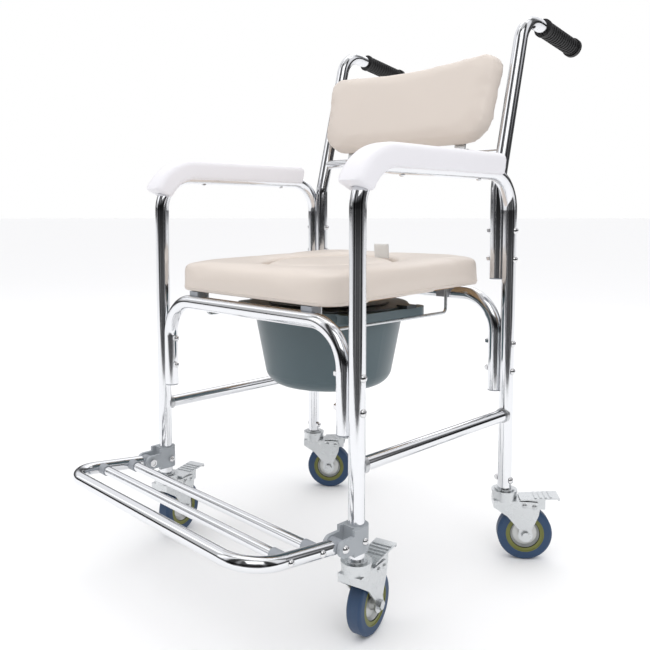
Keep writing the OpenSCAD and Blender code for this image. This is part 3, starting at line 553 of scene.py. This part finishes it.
def tyre_finish(corner, colour, ring):
    """Blue elastic tyre whose inner edge runs into the olive ring, dusty where it rolls."""
    material = new_material("blue_tyre_" + corner, tuple(colour), roughness=0.5, spread=0.15, mottle=0.15,
                            mottle_scale=30.0, grain=600.0, bump=0.2)
    tree, shader, _, surface, _ = parts_of(material)
    radius = radius_in_wheel(tree, corner)
    edge = math_node(tree, "LESS_THAN", radius, RING_OUTER)
    colours = tinted(tree, surface.outputs["Colour"], edge, tuple(ring))
    tread = math_node(tree, "MULTIPLY", math_node(tree, "GREATER_THAN", radius, TREAD_R), 0.06)
    tree.links.new(tinted(tree, colours, tread, (0.2, 0.22, 0.25)), shader.inputs["Base Color"])
    return material


def grip_finish(name):
    """Black rubber with a bloom of dust."""
    return new_material(name, (0.012, 0.012, 0.013), roughness=0.55, spread=0.25, mottle=0.6,
                        mottle_scale=40.0, grain=1400.0, bump=0.5)


def dress(node, material):
    """Gives a CAD node its finish."""
    slots = NODES[node].data.materials
    slots.clear()
    slots.append(material)


def wear(obj, material, body, slot, *stands_for):
    """Gives a new piece its finish, its body and the CAD nodes that it stands for."""
    obj.data.materials.clear()
    obj.data.materials.append(material)
    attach(obj, body)
    if stands_for:
        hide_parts(*stands_for)


# ------------------------------------------------------------ operators


class CHAIR_OT_metal(bpy.types.Operator):
    """Polished tubes, welds, zinc fittings and bright fasteners"""

    bl_idname = "chair.metal"
    bl_label = "Metal Finishes"

    def execute(self, context):
        polished = new_material("polished_tube", (0.80, 0.81, 0.83), roughness=0.1, spread=0.07,
                                mottle=0.04, mottle_scale=20.0, grain=2500.0, bump=0.04, Metallic=1.0)
        weld = new_material("weld_bead", (0.62, 0.63, 0.64), roughness=0.35, spread=0.2,
                            mottle=0.3, mottle_scale=90.0, grain=380.0, bump=1.0, Metallic=1.0)
        zinc = new_material("zinc_plate", (0.66, 0.68, 0.69), roughness=0.3, spread=0.2,
                            mottle=0.16, mottle_scale=70.0, grain=1200.0, bump=0.12, Metallic=1.0)
        bright = new_material("bright_plate", (0.78, 0.78, 0.79), roughness=0.16, spread=0.1,
                              mottle=0.08, mottle_scale=60.0, grain=1800.0, bump=0.05, Metallic=1.0)
        finishes = {"polished_tube": polished, "weld_bead": weld, "zinc": zinc, "bolt_steel": bright}
        for part in frame["record"]["subparts"]:
            if part["material_slot"] in finishes:
                dress(part["node"], finishes[part["material_slot"]])
        return {"FINISHED"}


class CHAIR_OT_plastic(bpy.types.Operator):
    """Moulded plugs, brackets, bucket, lid and the plywood boards"""

    bl_idname = "chair.plastic"
    bl_label = "Plastic and Wood Finishes"

    def execute(self, context):
        chosen = context.scene.chair_finishes
        moulded = {"spread": 0.1, "mottle": 0.06, "mottle_scale": 40.0, "grain": 1500.0, "bump": 0.3}
        glossy = {"spread": 0.08, "mottle": 0.08, "mottle_scale": 12.0, "grain": 1300.0}
        finishes = {
            "plug_plastic": new_material("plug_plastic", (0.30, 0.32, 0.35), 0.45, **moulded),
            "bracket_plastic": new_material("bracket_plastic", (0.36, 0.385, 0.41), 0.42, **moulded),
            "bucket_plastic": new_material("bucket_plastic", tuple(chosen.bucket), 0.34, bump=0.18,
                                           **glossy),
            "lid_plastic": new_material("lid_plastic", tuple(chosen.lid), 0.32, bump=0.2, **glossy),
            "plywood": plywood_finish("plywood")}
        for part in frame["record"]["subparts"]:
            if part["material_slot"] in finishes:
                dress(part["node"], finishes[part["material_slot"]])
        return {"FINISHED"}


class CHAIR_OT_wheels(bpy.types.Operator):
    """Zinc discs with their olive rings, and the blue tyres"""

    bl_idname = "chair.wheels"
    bl_label = "Wheels and Tyres"

    def execute(self, context):
        chosen = context.scene.chair_finishes
        for corner in CORNERS:
            dress("caster_wheel_" + corner, wheel_finish(corner, chosen.ring))
            dress("caster_tyre_" + corner, tyre_finish(corner, chosen.tyre, chosen.ring))
        return {"FINISHED"}


def rails_place(place):
    """A point's place in the seat's own frame: along X, behind the front rail and above it."""
    return RAILS.inverted() @ place


def push_radially(obj, centre_y, limit, inside, above):
    """Keeps points above a height inside or outside a round limit in the seat's frame."""
    for vertex in obj.data.vertices:
        local = rails_place(vertex.co)
        if local.z < above:
            continue
        away = Vector((local.x, local.y - centre_y))
        wrong = away.length > limit if inside else away.length < limit
        if wrong and away.length > 0:
            away = away.normalized() * limit
            vertex.co = RAILS @ Vector((away.x, away.y + centre_y, local.z))


def dent(obj, place, radius, depth):
    """Presses a small round dimple into a pad's top."""
    for vertex in obj.data.vertices:
        away = (vertex.co - place).length / radius
        vertex.co -= SEAT_UP * depth * math.exp(-away * away)


def round_corner_loop(half_w, low_y, high_y, radius, per_corner=10):
    """Points round a rectangle with round corners."""
    points = []
    corners = ((half_w, high_y), (-half_w, high_y), (-half_w, low_y), (half_w, low_y))
    for number, (x, y) in enumerate(corners):
        centre = Vector((x - math.copysign(radius, x), y - radius if y == high_y else y + radius))
        for step in range(per_corner + 1):
            angle = math.pi / 2 * (number + step / per_corner)
            points.append(centre + radius * Vector((math.cos(angle), math.sin(angle))))
    return points


def closed_tube(points, up, radius, sides=8):
    """A round cord that follows a closed loop of points."""
    bm = bmesh.new()
    rings = []
    for number, point in enumerate(points):
        along = points[(number + 1) % len(points)] - points[number - 1]
        side = along.cross(up).normalized()
        rings.append([bm.verts.new(point + radius * (math.cos(a) * side + math.sin(a) * up))
                      for a in (math.tau * i / sides for i in range(sides))])
    for number, ring in enumerate(rings):
        ahead = rings[(number + 1) % len(rings)]
        for i in range(sides):
            j = (i + 1) % sides
            bm.faces.new((ring[i], ring[j], ahead[j], ahead[i]))
    return bm


class CHAIR_OT_seat_welt(bpy.types.Operator):
    """Thin welt sewn round the seat, low on its side"""

    bl_idname = "chair.seat_welt"
    bl_label = "Seat Welt"

    def execute(self, context):
        pads = context.scene.chair_pads
        places = [rails_place(v.co) for v in NODES["seat_cushion"].data.vertices]
        half_w = max(p.x for p in places) - 0.4 * MM
        low, high = min(p.y for p in places) + 0.4 * MM, max(p.y for p in places) - 0.4 * MM
        loop = [RAILS @ Vector((p.x, p.y, pads.seat_rise + pads.welt_rise))
                for p in round_corner_loop(half_w, low, high, pads.corner_r)]
        welt = finish_mesh(closed_tube(loop, SEAT_UP, pads.piping_r), "seat_welt")
        wear(welt, vinyl_finish("welt_vinyl", tuple(context.scene.chair_finishes.vinyl)), "seat", "vinyl")
        return {"FINISHED"}


class CHAIR_OT_seat_pad(bpy.types.Operator):
    """Padded seat with its round hole and a crowned top; the Seat Welt step adds its welt low on its side"""

    bl_idname = "chair.seat_pad"
    bl_label = "Seat Pad"

    def execute(self, context):
        pads = context.scene.chair_pads
        base = pads.seat_rise
        pad = copy_of_node("seat_cushion", "seat_pad")
        remesh(pad, pads.voxel)

        def held(place):
            return rails_place(place).z < base + 12 * MM

        soften(pad, 2, held)
        swell(pad, pads.pressure, pads.seat_swell, held)
        soften(pad, 4, held)
        push_radially(pad, pads.hole_y, pads.hole_r - 0.5 * MM, False, base + 11 * MM)
        for x, y in DIMPLES:
            dent(pad, RAILS @ Vector((x, y, base + pads.seat_thick)), DIMPLE_R, DIMPLE_DEPTH)
        subdivide(pad)
        wear(pad, vinyl_finish("seat_vinyl", tuple(context.scene.chair_finishes.vinyl)), "seat", "vinyl",
             "seat_cushion")
        return {"FINISHED"}


class CHAIR_OT_plug_pad(bpy.types.Operator):
    """Crowned round plug that fills the seat's hole"""

    bl_idname = "chair.plug_pad"
    bl_label = "Plug Pad"

    def execute(self, context):
        pads = context.scene.chair_pads
        base = pads.seat_rise
        pad = copy_of_node("seat_plug", "plug_pad")
        remesh(pad, pads.voxel)

        def held(place):
            return rails_place(place).z < base + 14 * MM

        soften(pad, 2, held)
        swell(pad, pads.pressure, 5 * MM, held)
        soften(pad, 4, held)
        push_radially(pad, pads.hole_y, pads.hole_r - pads.plug_gap + 0.5 * MM, True, base)
        subdivide(pad)
        wear(pad, vinyl_finish("plug_vinyl", tuple(context.scene.chair_finishes.vinyl)), "plug", "vinyl",
             "seat_plug")
        return {"FINISHED"}


class CHAIR_OT_back_pad(bpy.types.Operator):
    """Padded backrest with soft round edges"""

    bl_idname = "chair.back_pad"
    bl_label = "Back Pad"

    def execute(self, context):
        pads = context.scene.chair_pads
        pad = copy_of_node("back_cushion", "back_pad")
        remesh(pad, pads.voxel)
        front = front_of("back_board")
        face = max(v.co.dot(front) for v in NODES["back_board"].data.vertices)

        def held(place):
            return place.dot(front) < face + 4 * MM

        soften(pad, 4, held)
        swell(pad, pads.pressure, pads.back_swell, held)
        soften(pad, 8, held)
        self.square_lower_corners(pad, front)
        subdivide(pad)
        wear(pad, vinyl_finish("back_vinyl", tuple(context.scene.chair_finishes.vinyl)), "frame", "vinyl",
             "back_cushion")
        return {"FINISHED"}


    def square_lower_corners(self, pad, front):
        """Spreads the pad's lower half sideways, so that its corners stay full."""
        up = front.cross(Vector((-1, 0, 0))).normalized()
        up = up if up.z > 0 else -up
        heights = [v.co.dot(up) for v in pad.data.vertices]
        low, reach = min(heights), 110 * MM
        for vertex, height in zip(pad.data.vertices, heights):
            vertex.co.x *= 1 + 0.06 * max(0.0, 1 - (height - low) / reach)


class CHAIR_OT_arm_pads(bpy.types.Operator):
    """White self-skinned foam pads that follow the arm rails"""

    bl_idname = "chair.arm_pads"
    bl_label = "Arm Pads"

    def execute(self, context):
        foam = new_material("white_foam", tuple(context.scene.chair_finishes.foam), 0.42, 0.1, 0.04, 10.0,
                            1100.0, 0.25, Subsurface_Weight=0.0)
        for side, sign in SIDES.items():
            pad = copy_of_node("arm_pad_" + side, "arm_foam_" + side)
            remesh(pad, 3 * MM)
            middle_x = sign * ARM_TOP.x

            def held(place):
                return abs(place.x - middle_x) < TUBE_R + 2.5 * MM and place.z < ARM_TOP.z - 18 * MM

            soften(pad, 9, held)
            subdivide(pad)
            wear(pad, foam, "frame", "white_foam", "arm_pad_" + side)
        return {"FINISHED"}


class CHAIR_OT_grips(bpy.types.Operator):
    """Ribbed black rubber sleeves on the push handles"""

    bl_idname = "chair.grips"
    bl_label = "Push Grips"

    def execute(self, context):
        rubber = grip_finish("grip_rubber")
        for side in SIDES:
            dress("push_grip_" + side, rubber)
        return {"FINISHED"}


class CHAIR_OT_pull_tab(bpy.types.Operator):
    """Folded woven ribbon that lifts the plug"""

    bl_idname = "chair.pull_tab"
    bl_label = "Pull Tab"

    def execute(self, context):
        low, high = (Vector(v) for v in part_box("plug_tab"))
        width, rise, loop_r = 28 * MM, 26 * MM, 1.6 * MM
        length = 2 * rise + math.pi * loop_r
        bm = bmesh.new()
        bmesh.ops.create_grid(bm, x_segments=8, y_segments=40, size=0.5, calc_uvs=True)
        for vertex in bm.verts:
            along = (vertex.co.y + 0.5) * length
            if along < rise:
                side, up = -loop_r, along
            elif along > length - rise:
                side, up = loop_r, length - along
            else:
                angle = (along - rise) / loop_r
                side, up = -loop_r * math.cos(angle), rise + loop_r * math.sin(angle)
            vertex.co = Vector((vertex.co.x * width, side - 0.18 * up, up))
        middle = (low + high) / 2
        turn = Matrix.Rotation(math.radians(24), 4, "Z")
        set_place(bm, Matrix.Translation((middle.x, middle.y, low.z + 0.5 * MM)) @ turn)
        tab = finish_mesh(bm, "pull_ribbon")
        thick = tab.modifiers.new("thickness", "SOLIDIFY")
        thick.thickness = 0.9 * MM
        thick.offset = 0
        wear(tab, weave_finish("ribbon"), "plug", "webbing", "plug_tab")
        return {"FINISHED"}


class CHAIR_OT_stage(bpy.types.Operator):
    """Pale floor, soft studio lights and the camera"""

    bl_idname = "chair.stage"
    bl_label = "Stage"

    def execute(self, context):
        stage = context.scene.chair_stage
        bm = bmesh.new()
        bmesh.ops.create_grid(bm, x_segments=2, y_segments=2, size=stage.floor_half)
        ahead = Vector((-math.sin(stage.yaw), math.cos(stage.yaw), 0))
        middle = ahead * (stage.floor_half - stage.floor_near)
        set_place(bm, Matrix.Translation(middle) @ Matrix.Rotation(stage.yaw, 4, "Z"))
        floor = finish_mesh(bm, "floor")
        floor.data.materials.append(
            new_material("floor", tuple(stage.floor), 0.9, 0.05, 0.01, 1.0, 300.0, 0.02,
                         Specular_IOR_Level=0.0))
        for name, place, size, power in LIGHTS:
            lamp = bpy.data.lights.new(name, "AREA")
            lamp.size = size
            lamp.energy = power
            light = bpy.data.objects.new(name, lamp)
            light.location = place
            light.rotation_euler = (Vector(AIM) - Vector(place)).to_track_quat("-Z", "Y").to_euler()
            context.scene.collection.objects.link(light)
        self.make_sky(context)
        lens = bpy.data.cameras.new("camera")
        lens.lens = stage.lens
        lens.shift_x, lens.shift_y = stage.shift
        camera = bpy.data.objects.new("camera", lens)
        camera.location = stage.eye
        camera.rotation_euler = Euler((math.pi / 2 - stage.pitch, 0, stage.yaw))
        context.scene.collection.objects.link(camera)
        context.scene.camera = camera
        context.scene.view_settings.view_transform = "Standard"
        return {"FINISHED"}

    def make_sky(self, context):
        """A room that is white to the eye, and bright above a darker horizon in reflections."""
        world = bpy.data.worlds.new("room")
        context.scene.world = world
        world.use_nodes = True
        tree = world.node_tree
        back = tree.nodes["Background"]
        place = tree.nodes.new("ShaderNodeTexCoord")
        split = tree.nodes.new("ShaderNodeSeparateXYZ")
        tree.links.new(place.outputs["Generated"], split.inputs[0])
        ramp = tree.nodes.new("ShaderNodeValToRGB")
        tree.links.new(to_unit(tree, split.outputs["Z"]), ramp.inputs[0])
        fill_ramp(ramp, ROOM_BELOW, ROOM_ABOVE, ROOM_HEIGHTS, ROOM_BLUE)
        seen = tree.nodes.new("ShaderNodeLightPath")
        mix = add_node(tree, "ShaderNodeMix", {"data_type": "RGBA"})
        tree.links.new(seen.outputs["Is Camera Ray"], mix.inputs["Factor"])
        tree.links.new(ramp.outputs["Color"], mix.inputs["A"])
        mix.inputs["B"].default_value = (1, 1, 1, 1)
        tree.links.new(mix.outputs["Result"], back.inputs["Color"])
        soft = seen.outputs["Is Diffuse Ray"]
        eye = math_node(tree, "MAXIMUM", seen.outputs["Is Camera Ray"], soft)
        cards = self.dark_cards(tree, place, context.scene.chair_stage)
        shade = math_node(tree, "MAXIMUM", eye, cards)
        lift = math_node(tree, "ADD", math_node(tree, "MULTIPLY", soft, 0.2), 1.0)
        tree.links.new(math_node(tree, "MULTIPLY", shade, lift), back.inputs["Strength"])

    def dark_cards(self, tree, place, stage):
        """How bright the room is round the compass: dark cards stand to both sides of the camera."""
        flat = add_node(tree, "ShaderNodeVectorMath", {"operation": "MULTIPLY"})
        tree.links.new(place.outputs["Generated"], flat.inputs[0])
        flat.inputs[1].default_value = (1, 1, 0)
        even = add_node(tree, "ShaderNodeVectorMath", {"operation": "NORMALIZE"})
        tree.links.new(flat.outputs[0], even.inputs[0])
        towards = add_node(tree, "ShaderNodeVectorMath", {"operation": "DOT_PRODUCT"})
        tree.links.new(even.outputs[0], towards.inputs[0])
        towards.inputs[1].default_value = Vector((stage.eye[0], stage.eye[1], 0)).normalized()
        ramp = tree.nodes.new("ShaderNodeValToRGB")
        tree.links.new(to_unit(tree, towards.outputs["Value"]), ramp.inputs[0])
        fill_ramp(ramp, ROOM_BEHIND, ROOM_AHEAD, ROOM_COMPASS)
        return ramp.outputs["Color"]


OPERATORS = (CHAIR_OT_stage, CHAIR_OT_metal, CHAIR_OT_plastic, CHAIR_OT_wheels, CHAIR_OT_grips,
             CHAIR_OT_seat_pad, CHAIR_OT_seat_welt, CHAIR_OT_plug_pad, CHAIR_OT_back_pad,
             CHAIR_OT_arm_pads, CHAIR_OT_pull_tab)
SETTINGS = {"chair_pads": ChairPads, "chair_finishes": ChairFinishes, "chair_stage": ChairStage}


class CHAIR_PT_sidebar(bpy.types.Panel):
    """Lists the chair's pieces and finishes"""

    bl_idname = "CHAIR_PT_sidebar"
    bl_label = "Commode Chair"
    bl_space_type = "VIEW_3D"
    bl_region_type = "UI"
    bl_category = "Commode Chair"

    def draw(self, context):
        for operator in OPERATORS:
            self.layout.operator(operator.bl_idname)
        for name, kind in SETTINGS.items():
            box = self.layout.box()
            box.label(text=kind.__doc__)
            for field in kind.__annotations__:
                box.prop(getattr(context.scene, name), field)


def register():
    """Registers the settings, the operators and the panel."""
    for kind in (*SETTINGS.values(), *OPERATORS, CHAIR_PT_sidebar):
        bpy.utils.register_class(kind)
    for name, kind in SETTINGS.items():
        setattr(bpy.types.Scene, name, bpy.props.PointerProperty(type=kind))


def unregister():
    """Takes back what register did."""
    for name in SETTINGS:
        delattr(bpy.types.Scene, name)
    for kind in reversed((*SETTINGS.values(), *OPERATORS, CHAIR_PT_sidebar)):
        bpy.utils.unregister_class(kind)


def main():
    """Builds every piece."""
    register()
    for operator in OPERATORS:
        family, name = operator.bl_idname.split(".")
        getattr(getattr(bpy.ops, family), name)()


if __name__ == "__main__":
    main()
